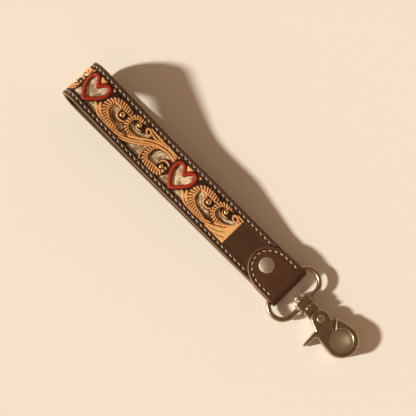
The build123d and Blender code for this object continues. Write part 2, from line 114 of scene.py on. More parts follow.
class Finish:
    def __init__(self, name, owner=None, **constants):
        # A material's finish, or the light of the world that owns it
        self.material = owner or bpy.data.materials.new(name)
        self.material.use_nodes = True
        self.tree = self.material.node_tree
        if owner:
            self.shader = self.tree.nodes["Background"]
            return
        self.tree.nodes.clear()
        self.shader = self.tree.nodes.new("ShaderNodeBsdfPrincipled")
        out = self.tree.nodes.new("ShaderNodeOutputMaterial")
        self.tree.links.new(self.shader.outputs[0], out.inputs["Surface"])
        for socket, value in constants.items():
            self.set(self.shader.inputs[socket.replace("_", " ")], value)

    def set(self, socket, value):
        if isinstance(value, Value):
            self.tree.links.new(value.socket, socket)
        else:
            socket.default_value = value

    def node(self, kind, settings, inputs, output=0):
        node = self.tree.nodes.new(kind)
        for name, value in settings.items():
            setattr(node, name, value)
        for key, value in inputs.items():
            self.set(node.inputs[key], value)
        return Value(self, node.outputs[output])

    def mix(self, share, first, second):
        return self.node("ShaderNodeMix", {"data_type": "RGBA"}, {0: share, 6: first, 7: second}, 2)

    def place(self, scale=(1, 1, 1), turn=(0, 0, 0), where="Object"):
        raw = self.node("ShaderNodeTexCoord", {}, {}, where)
        return self.node("ShaderNodeMapping", {}, {"Vector": raw, "Scale": scale, "Rotation": turn})

    def noise(self, vector, scale, detail=4.0, roughness=0.5, output="Fac"):
        return self.node(
            "ShaderNodeTexNoise",
            {},
            {"Vector": vector, "Scale": scale, "Detail": detail, "Roughness": roughness},
            output,
        )

    def ramp(self, value, low, high):
        return self.node(
            "ShaderNodeMapRange",
            {"interpolation_type": "SMOOTHSTEP"},
            {"Value": value, "From Min": low, "From Max": high},
        )

    def attribute(self, name, output="Color"):
        return self.node("ShaderNodeAttribute", {"attribute_name": name}, {}, output)

    def bump(self, height, distance, strength=1.0):
        bumped = self.node(
            "ShaderNodeBump", {}, {"Height": height, "Distance": distance, "Strength": strength}, "Normal"
        )
        self.set(self.shader.inputs["Normal"], bumped)

    def feed(self, **links):
        for socket, value in links.items():
            self.set(self.shader.inputs[socket.replace("_", " ")], value)


def leather(name, colour, dark, pale, grain=1.0, base=None, roughness=0.42, rim=None, wear=0.3):
    # Pulled-up leather: cloudy colour, pores and fine creases
    skin = Finish(name, Specular_IOR_Level=0.35)
    spot = skin.place((1000, 1000, 1000))
    clouds = skin.ramp(skin.noise(spot, 0.16, 5, 0.62), 0.32, 0.7)
    pores = skin.node(
        "ShaderNodeTexVoronoi", {"feature": "DISTANCE_TO_EDGE"}, {"Vector": spot, "Scale": 1.5}, "Distance"
    )
    fine = skin.noise(spot, 3.4, 4, 0.6)
    body = base(skin) if base else pigment(*colour)
    tone = skin.mix(clouds * 0.55, body, skin.mix(0.5, body, pigment(*dark)) if wear > 0.2 else body)
    tone = skin.mix(skin.ramp(fine, 0.58, 0.8) * wear, tone, pigment(*pale))
    tone = skin.mix((1 - skin.ramp(pores, 0.0, 0.16)) * 0.7 * wear, tone, pigment(*dark))
    # painted highlight: the rim colour along the edges, partly burnished leather, partly light glancing along
    # the edge
    if rim:
        tone = skin.mix(skin.attribute("rim", "Fac") * 0.75, tone, pigment(*rim))
    skin.feed(Base_Color=tone, Roughness=roughness + 0.22 * fine)
    skin.bump(skin.ramp(pores, 0.0, 0.25) * 0.6 + fine * 0.6, 0.00009 * grain, 0.8)
    return skin.material


def darkenedAtStitches(colour, hole):
    # The leather is pulled in where a thread goes through it, and its colour is darkened there: partly
    # pressed leather, partly painted shade in the holes and the stitch groove
    def body(skin):
        return skin.mix(skin.attribute("pressedAndShaded", "Fac"), pigment(*colour), pigment(*hole))
    return body


# The rim colours are pale edge lines, partly burnished leather and partly painted highlight; the darker
# colour at the stitches is partly painted shade
borderLeather = leather(
    "borderLeather", None, (46, 26, 14), (118, 80, 50),
    base=darkenedAtStitches((82, 46, 22), (14, 7, 3)), rim=(136, 102, 70),
)
liningLeather = leather(
    "liningLeather", (84, 56, 34), (50, 31, 18), (124, 88, 56),
    roughness=0.5, rim=(104, 74, 48),
)
tabLeather = leather(
    "tabLeather", None, (50, 28, 15), (126, 84, 52),
    base=darkenedAtStitches((86, 46, 24), (16, 8, 4)), rim=(160, 124, 90),
)
tooledLeather = leather(
    "tooledLeather", None, (120, 62, 30), (255, 205, 150), 0.7, base=lambda skin: skin.attribute("paint"),
    roughness=0.42, wear=0.12,
)


def hairHide():
    # Short hair lying slantwise: cream with grey-brown patches and fine streaks
    hair = Finish("hairHide", Specular_IOR_Level=0.3)
    patch = hair.noise(hair.place((0.11, 0.17, 1), (0, 0, 0.5), "UV"), 1.0, 2, 0.5)
    streak = hair.noise(hair.place((1.5, 0.2, 1), (0, 0, 0.42), "UV"), 1.0, 4, 0.62)
    strand = hair.noise(hair.place((4.5, 0.5, 1), (0, 0, 0.42), "UV"), 1.0, 3, 0.6)
    shade = hair.ramp(patch * 0.7 + streak * 0.5, 0.5, 0.7)
    tone = hair.mix(shade, pigment(250, 216, 166), pigment(140, 96, 56))
    tone = hair.mix(hair.ramp(streak, 0.52, 0.64) * 0.5, tone, pigment(112, 74, 42))
    tone = hair.mix(hair.ramp(strand, 0.52, 0.7) * 0.35, tone, pigment(100, 68, 42))
    hair.feed(Base_Color=tone, Roughness=0.5 + 0.2 * strand)
    hair.bump(strand + streak * 0.6, 0.00016)
    return hair.material


def metal(name, colour, patina, tarnish, roughness, dents=0.00005, scale=0.5):
    # Cast and plated: cloudy patina, fine scratches, darker where it is never rubbed
    plate = Finish(name, Metallic=1.0)
    spot = plate.place((1000, 1000, 1000))
    cloud = plate.noise(spot, scale, 5, 0.6)
    speck = plate.noise(spot, scale * 5, 4, 0.65)
    scratch = plate.noise(plate.place((900, 5200, 2400), (0.3, 0.2, 0.7)), 1.0, 3, 0.6)
    old = plate.ramp(cloud * 0.6 + speck * 0.4, 0.5 - tarnish * 0.25, 0.62 + (1 - tarnish) * 0.2)
    plate.feed(
        Base_Color=plate.mix(old * tarnish, colour, patina),
        Roughness=roughness + 0.16 * old + 0.08 * scratch,
    )
    plate.bump(speck * 0.6 + scratch * 0.4, dents, 0.6)
    return plate.material


antiqueNickel = metal("antiqueNickel", (0.66, 0.54, 0.39, 1), (0.22, 0.13, 0.07, 1), 0.75, 0.15)
capNickel = metal("capNickel", (0.76, 0.66, 0.52, 1), (0.32, 0.24, 0.17, 1), 0.8, 0.4, 0.00012, 0.7)
brightNickel = metal("brightNickel", (0.74, 0.66, 0.55, 1), (0.4, 0.32, 0.24, 1), 0.3, 0.18)
springSteel = metal("springSteel", (0.6, 0.57, 0.53, 1), (0.3, 0.27, 0.24, 1), 0.3, 0.25)
studBrass = metal("studBrass", (0.95, 0.66, 0.2, 1), (0.55, 0.32, 0.08, 1), 0.4, 0.12)


def waxedThread():
    # Two-ply twist that follows each stitch
    thread = Finish("waxedThread", Roughness=0.5, Specular_IOR_Level=0.3)
    spot = thread.place((1000, 1000, 1000))
    twist = thread.node(
        "ShaderNodeTexWave",
        {"wave_type": "BANDS", "bands_direction": "DIAGONAL"},
        {"Vector": spot, "Scale": 0.9},
        "Fac",
    )
    grime = thread.ramp(thread.noise(spot, 0.7, 3, 0.6), 0.45, 0.75)
    tone = thread.mix(grime * 0.6, pigment(240, 205, 160), pigment(168, 122, 80))
    # painted shade: darker in the low bands of the twist, the grooves between the plies
    tone = thread.mix((1 - twist) * 0.3, tone, pigment(160, 112, 72))
    thread.feed(Base_Color=tone)
    thread.bump(twist, 0.00006)
    return thread.material


hideHair = hairHide()
threadWax = waxedThread()
print("finishes made:", len(bpy.data.materials))


# ---- the strap's line, seen from the side

strap = {
    "lining": 1.0,
    "outer": 1.6,
    "hide": 0.6,
    "panel": 1.1,
    "border": 3.9,
    "foldRadius": 11.0,
    "sagHeight": 12.0,
    "fallShare": 0.5,
    "approachShare": 0.38,
    "softness": 0.62,
    "lowerApproach": 21.6,
    "held": 12.9,
    "studHeight": 0.9,
    "plyGap": 0.1,
    "outerRound": 0.55,
    "liningRound": 0.4,
    "rim": 0.42,
    "lipDepth": 0.12,
    "lipWidth": 0.3,
}
tab = {
    "thickness": 1.3,
    "bend": 6.0,
    "noseAhead": 6.8,
    "tipLength": 15.5,
    "edgeRound": 0.5,
    "dish": 0.2,
    "seamLength": 24.8,
    "creaseInset": 1.1,
    "creaseWidth": 0.25,
    "creaseDepth": 0.12,
    "tipRows": 25,
    "tipReach": 14.0,
}

liningLow, liningHigh = span("strap_lining")
foldX = span("strap_outer")[0].x
capLow = span("rivet_cap")[0]
panelHigh = span("tooled_panel")[1]
tabLow, tabHigh = span("end_tab")
strapWidth = liningHigh.y - liningLow.y
tabWidth = tabHigh.y - tabLow.y
strapEnd = liningHigh.x
levelX = strapEnd - strap["held"]
noseX = strapEnd + tab["noseAhead"]
axisZ = tabHigh.x - noseX
strapTop = capLow.z - tab["thickness"]
upperLine = strapTop - strap["outer"]
tableGap = strap["studHeight"] + strap["hide"] + strap["panel"] - strap["outer"]
lowerLine = strapTop - strap["outer"] - 2 * strap["lining"] - strap["plyGap"]


def joinBends(run, drop, firstRadius, lastRadius):
    # Angle and straight length from a level bend to a circle ahead and below
    across = drop - firstRadius
    apart = firstRadius - lastRadius
    straight = sqrt(run**2 + across**2 - apart**2)
    return degrees(atan2(across, run) + atan2(apart, straight)), straight


def stepDown(run, drop, first, second, toward):
    angle, straight = joinBends(run, drop - second, first, -second)
    return [(first, toward * angle), (straight, 0), (second, -toward * angle)]


def widestBends(run, drop):
    return (run**2 + drop**2) / (2 * drop)


class StripLine:
    # Straight runs (length, 0) and bends (radius, degrees), left where positive.
    # Distances along it are measured on the face that lies this far outwards.

    def __init__(self, start, heading, stretches, face):
        self.rows = []
        x, z, angle, along = start[0], start[1], radians(heading), 0.0
        for size, turn in stretches:
            turn = radians(turn)
            side = 1 if turn > 0 else -1
            length = (size - side * face) * abs(turn) if turn else size
            self.rows.append((along, length, x, z, angle, size, turn))
            if turn:
                x += side * size * (sin(angle + turn) - sin(angle))
                z -= side * size * (cos(angle + turn) - cos(angle))
            else:
                x += size * cos(angle)
                z += size * sin(angle)
            angle += turn
            along += length
        self.length = along

    def place(self, along, out):
        # Points, moved outwards, with the way along and the way outwards at each
        along = np.asarray(along, float)
        rows = np.array(self.rows)
        row = rows[np.clip(np.searchsorted(rows[:, 0], along, side="right") - 1, 0, len(rows) - 1)]
        _, _, x, z, angle, size, turn = row.T
        part = (along - row[:, 0]) / row[:, 1]
        now = angle + turn * part
        bent = turn != 0
        reach = np.where(turn > 0, size, -size)
        x = x + np.where(bent, reach * (np.sin(now) - np.sin(angle)), size * part * np.cos(angle))
        z = z + np.where(bent, -reach * (np.cos(now) - np.cos(angle)), size * part * np.sin(angle))
        ahead = np.stack([np.cos(now), np.sin(now)], 1)
        outward = np.stack([-np.sin(now), np.cos(now)], 1)
        return np.stack([x, z], 1) + outward * np.asarray(out, float).reshape(-1, 1), ahead, outward

    def alongAt(self, x, low, high):
        # Where the line passes this x, between two distances along it
        tries = np.linspace(low, high, 4000)
        found = self.place(tries, 0)[0][:, 0]
        order = np.argsort(found)
        return float(np.interp(x, found[order], tries[order]))


freeRun = levelX - (foldX + strap["foldRadius"])
fallRun = strap["fallShare"] * freeRun
approachRun = strap["approachShare"] * freeRun
layerFold = strap["foldRadius"] - strap["outer"]
foldDrop = tableGap + 2 * strap["foldRadius"] - strap["sagHeight"]
sagDrop = strap["sagHeight"] - strapTop
lowerDrop = lowerLine - strap["outer"] - tableGap
fallRadius = strap["softness"] * (widestBends(fallRun, foldDrop) - layerFold)
approachRadius = strap["softness"] * widestBends(approachRun, sagDrop) / 2
lowerRadius = strap["softness"] * widestBends(strap["lowerApproach"], lowerDrop) / 2
lowerApproach = stepDown(strap["lowerApproach"], lowerDrop, lowerRadius, lowerRadius, 1)
fall = stepDown(fallRun, foldDrop, layerFold, fallRadius, -1)
upperApproach = stepDown(approachRun, sagDrop, approachRadius, approachRadius, -1)
surface = strap["hide"] + strap["panel"]
strapLine = StripLine(
    (strapEnd, lowerLine),
    180,
    [(strap["held"], 0)]
    + lowerApproach
    + [(freeRun - strap["lowerApproach"], 0), (layerFold, fall[0][1] - 180)]
    + fall[1:]
    + [(freeRun - fallRun - approachRun, 0)]
    + upperApproach
    + [(strap["held"], 0)],
    surface,
)
foldAlong = strapLine.rows[5][0] + (layerFold + surface) * pi / 2
panelStart = strapLine.alongAt(panelHigh.x, 0, strapLine.rows[5][0])
panelStop = strapLine.alongAt(panelHigh.x, strapLine.rows[6][0], strapLine.length)

noseRadius = axisZ - tab["thickness"] - strap["outer"]
upperNose = joinBends(tab["noseAhead"], upperLine - axisZ, tab["bend"], noseRadius)
lowerNose = joinBends(tab["noseAhead"], axisZ - lowerLine, -tab["bend"], noseRadius)
tabLine = StripLine(
    (levelX - approachRun, strap["sagHeight"] - strap["outer"]),
    0,
    upperApproach
    + [(strap["held"], 0), (tab["bend"], -upperNose[0]), (upperNose[1], 0)]
    + [(noseRadius, upperNose[0] + lowerNose[0] - 180)]
    + [(lowerNose[1], 0), (tab["bend"], -lowerNose[0]), (strap["held"], 0)]
    + lowerApproach,
    strap["outer"] + tab["thickness"],
)
print("strap runs", round(strapLine.length, 1), "mm, tab", round(tabLine.length, 1), "mm")


# ---- mesh helpers


def taken(name):
    # The primitive just added, under its own name
    piece = bpy.context.active_object
    piece.name = piece.data.name = name
    return piece


def only(piece):
    bpy.ops.object.select_all(action="DESELECT")
    piece.select_set(True)
    bpy.context.view_layer.objects.active = piece


def inEdit(piece, *edits):
    only(piece)
    bpy.ops.object.mode_set(mode="EDIT")
    for edit in edits:
        edit()
    bpy.ops.object.mode_set(mode="OBJECT")


def modified(piece, kind, **settings):
    only(piece)
    modifier = piece.modifiers.new(kind.title(), kind)
    for name, value in settings.items():
        setattr(modifier, name, value)
    bpy.ops.object.modifier_apply(modifier=modifier.name)


def points(piece):
    found = np.empty(len(piece.data.vertices) * 3)
    piece.data.vertices.foreach_get("co", found)
    return found.reshape(-1, 3)


def setPoints(piece, places):
    piece.data.vertices.foreach_set("co", np.ascontiguousarray(places, float).ravel())
    piece.data.update()


def values(piece, name, kind, numbers=None):
    # Reads or writes a number, or a vector or colour, at each vertex
    size = {"FLOAT": 1, "FLOAT_VECTOR": 3, "FLOAT_COLOR": 4}[kind]
    field = {"FLOAT": "value", "FLOAT_VECTOR": "vector", "FLOAT_COLOR": "color"}[kind]
    if numbers is None:
        found = np.empty(len(piece.data.vertices) * size)
        piece.data.attributes[name].data.foreach_get(field, found)
        return found.reshape(-1, size)
    if name in piece.data.attributes:
        piece.data.attributes.remove(piece.data.attributes[name])
    layer = piece.data.attributes.new(name, kind, "POINT")
    layer.data.foreach_set(field, np.ascontiguousarray(numbers, float).ravel())


def dressed(piece, material, body, slot, *nodes):
    piece.data.materials.clear()
    piece.data.materials.append(material)
    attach(piece, body)
    if nodes:
        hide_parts(*nodes)
    print("made", piece.name, len(piece.data.polygons), "faces")


def roundedEdge(inside, radius):
    # How far a rounded edge falls away, this far inside it
    near = np.clip(1 - inside / radius, 0, 1)
    return radius * (1 - np.sqrt(1 - near**2))


def gridSheet(name, alongs, acrosses):
    # A flat grid whose rows and columns stand at the given places
    bpy.ops.mesh.primitive_grid_add(x_subdivisions=len(alongs) - 1, y_subdivisions=len(acrosses) - 1, size=1)
    sheet = taken(name)
    spots = points(sheet)
    spots[:, 0] = np.asarray(alongs)[np.rint((spots[:, 0] + 0.5) * (len(alongs) - 1)).astype(int)]
    spots[:, 1] = np.asarray(acrosses)[np.rint((spots[:, 1] + 0.5) * (len(acrosses) - 1)).astype(int)]
    setPoints(sheet, spots)
    return sheet


def cutFaces(sheet, unwanted):
    # Deletes the faces that a test on their corners picks out
    chosen = [unwanted[list(face.vertices)].any() for face in sheet.data.polygons]
    only(sheet)
    bpy.ops.object.mode_set(mode="EDIT")
    bpy.ops.mesh.select_all(action="DESELECT")
    bpy.ops.object.mode_set(mode="OBJECT")
    sheet.data.polygons.foreach_set("select", chosen)
    inEdit(sheet, lambda: bpy.ops.mesh.delete(type="FACE"))


def layOn(sheet, line, top, under, mapWidth=None):
    # Thickens a flat sheet and lays it along a line, between two distances outwards
    modified(sheet, "SOLIDIFY", thickness=1.0, offset=-1.0)
    spots = points(sheet)
    below = spots[:, 2] < -0.5
    along, across = spots[:, 0], spots[:, 1]
    out = np.where(below, under(along, across), top(along, across))
    width = mapWidth(along) if mapWidth else 1.0
    side, _, _ = line.place(along, out)
    loops = np.empty(len(sheet.data.loops), int)
    sheet.data.loops.foreach_get("vertex_index", loops)
    flat = np.stack([along[loops], across[loops]], 1)
    sheet.data.uv_layers.active.data.foreach_set("uv", flat.ravel())
    setPoints(sheet, np.stack([side[:, 0], across * width, side[:, 1]], 1) * 0.001)
    return along, across, below


def spaced(low, high, pitch):
    return np.linspace(low, high, max(2, int(round((high - low) / pitch)) + 1))


# ---- stitches

stitch = {
    "pitch": 3.3,
    "length": 2.35,
    "width": 0.52,
    "height": 0.3,
    "inset": 2.4,
    "lean": 11.0,
    "pull": 0.32,
    "rise": 0.12,
    "liningSink": 0.04,
    "holeLength": 0.45,
    "holeWidth": 0.42,
    "holeDepth": 0.16,
    "groove": 0.62,
    "tabGroove": 0.6,
    "plump": 0.8,
    "dive": 0.35,
    "underTab": 5.0,
}


def oneStitch():
    # A short plump length of thread that dives into the leather at both ends
    bpy.ops.mesh.primitive_uv_sphere_add(segments=8, ring_count=7, radius=0.5)
    thread = taken("stitchModel")
    spots = points(thread)
    spots = spots[:, [2, 0, 1]]
    spots[:, 0] = np.sign(spots[:, 0]) * (np.abs(spots[:, 0]) * 2) ** stitch["plump"] * stitch["length"] / 2
    spots[:, 1] *= stitch["width"]
    spots[:, 2] *= stitch["height"] * 2
    spots[:, 2] -= stitch["dive"] * (np.abs(spots[:, 0]) / (stitch["length"] / 2)) ** 4
    setPoints(thread, spots)
    return thread


def sewRow(name, places):
    # Copies the stitch to each place: point, way along, way outwards
    model = oneStitch()
    copies = []
    for point, ahead, outward in places:
        ahead, outward = Vector(ahead), Vector(outward)
        sideways = outward.cross(ahead)
        copy = model.copy()
        copy.data = model.data.copy()
        turn = Matrix((ahead, sideways, outward)).transposed().to_4x4()
        copy.data.transform(Matrix.Scale(0.001, 4) @ Matrix.Translation(point) @ turn)
        bpy.context.collection.objects.link(copy)
        copies.append(copy)
    bpy.data.objects.remove(model)
    bpy.ops.object.select_all(action="DESELECT")
    for copy in copies:
        copy.select_set(True)
    bpy.context.view_layer.objects.active = copies[0]
    bpy.ops.object.join()
    row = taken(name)
    bpy.ops.object.shade_smooth()
    return row


def leaning(ahead, outward, degreesTurned):
    return Matrix.Rotation(radians(degreesTurned), 3, Vector(outward)) @ Vector(ahead)


def holesNear(along, across, rowAcross, start):
    # 1 where a thread goes through, 0 away from it
    phase = (along - start + stitch["pitch"] / 2) % stitch["pitch"] - stitch["pitch"] / 2
    end = stitch["pitch"] / 2 - np.abs(phase)
    off = np.abs(np.abs(across) - rowAcross)
    return np.exp(-(end / stitch["holeLength"]) ** 2 - (off / stitch["holeWidth"]) ** 2)


def grooveAt(across, rowAcross):
    return np.exp(-(((np.abs(across) - rowAcross) / stitch["groove"]) ** 2))


def burnishAndSheenAt(gap):
    # 1 on an edge, fading to 0: a pale edge line, partly burnished leather and partly a painted highlight of
    #                            light glancing along the edge
    return np.clip(1 - gap / strap["rim"], 0, 1)


# ---- strap: lining, border leather and the hide

seamAcross = strapWidth / 2 - stitch["inset"]
windowAcross = strapWidth / 2 - strap["border"]
stitchStart = foldAlong


def edgeSteps(half):
    return [half - d for d in (0.0, 0.06, 0.18, 0.36, 0.6, 0.9)]


def mirrored(steps):
    return sorted(set([round(v, 4) for v in steps] + [round(-v, 4) for v in steps]))


def borderTop(along, across):
    inside = strapWidth / 2 - np.abs(across)
    held = strap["outer"] - roundedEdge(inside, strap["outerRound"])
    held = held - stitch["pull"] * grooveAt(across, seamAcross)
    held = held - stitch["holeDepth"] * holesNear(along, across, seamAcross, stitchStart)
    fromLip = np.abs(across) - windowAcross
    return held - strap["lipDepth"] * np.exp(-((fromLip / strap["lipWidth"]) ** 2))


seamSteps = [seamAcross + d for d in (-1.0, -0.7, -0.45, -0.22, 0.0, 0.22, 0.45, 0.7, 1.0)]
borderSteps = edgeSteps(strapWidth / 2) + seamSteps + [windowAcross + d for d in (0.0, 0.15, 0.35)]
borderSheet = gridSheet(
    "borderLeather",
    spaced(0, strapLine.length, stitch["pitch"] / 5),
    mirrored(borderSteps + [0.0, 2.2, 4.4, 6.6]),
)
spots = points(borderSheet)
inWindow = (spots[:, 0] > panelStart) & (spots[:, 0] < panelStop)
inWindow &= np.abs(spots[:, 1]) < windowAcross - 0.05
cutFaces(borderSheet, inWindow)
along, across, below = layOn(borderSheet, strapLine, borderTop, lambda along, across: 0 * along)
# painted shade: darker at the stitch holes, along the stitch groove and in a strip along the dipped edge of
# the window beside the panel
lip = np.exp(-(((np.abs(across) - windowAcross) / 0.35) ** 2)) * (along > panelStart) * (along < panelStop)
pressedAndShaded = holesNear(along, across, seamAcross, stitchStart) + 0.75 * grooveAt(across, seamAcross) + lip
values(borderSheet, "pressedAndShaded", "FLOAT", np.clip(pressedAndShaded, 0, 1))
# painted highlight: a pale line along both edges of the border leather, partly burnished leather
values(borderSheet, "rim", "FLOAT", burnishAndSheenAt(strapWidth / 2 - np.abs(across)))
only(borderSheet)
bpy.ops.object.shade_smooth_by_angle(angle=radians(50))
dressed(borderSheet, borderLeather, "strap", "strap_leather", "strap_outer")

liningSheet = gridSheet(
    "liningLeather",
    spaced(0, strapLine.length, stitch["pitch"] / 4),
    mirrored(edgeSteps(strapWidth / 2) + seamSteps + [0.0, 3.0, 6.0, 8.5]),
)
along, across, below = layOn(
    liningSheet,
    strapLine,
    lambda along, across: 0 * along - 0.005,
    lambda along, across: -strap["lining"]
    + roundedEdge(strapWidth / 2 - np.abs(across), strap["liningRound"])
    + 0.12 * grooveAt(across, seamAcross),
)
# painted highlight: a pale line along both edges of the lining, partly burnished leather
values(liningSheet, "rim", "FLOAT", burnishAndSheenAt(strapWidth / 2 - np.abs(across)))
only(liningSheet)
bpy.ops.object.shade_smooth_by_angle(angle=radians(50))
dressed(liningSheet, liningLeather, "strap", "lining_leather", "strap_lining")

hideRows = spaced(panelStart, panelStop, 1.0)
hideSheet = gridSheet("hairHide", hideRows, spaced(-windowAcross, windowAcross, 1.1))


def hideTop(along, across):
    lie = [noise.noise(Vector((a * 0.35, b * 0.35, 0))) for a, b in zip(along, across)]
    return strap["hide"] - 0.08 + 0.07 * np.array(lie)


layOn(hideSheet, strapLine, hideTop, lambda along, across: 0 * along + 0.005)
bpy.ops.object.shade_smooth_by_angle(angle=radians(50))
dressed(hideSheet, hideHair, "strap", "hair_hide", "hide_inlay")


# ---- the tooled pattern: along from the heart's middle, and across

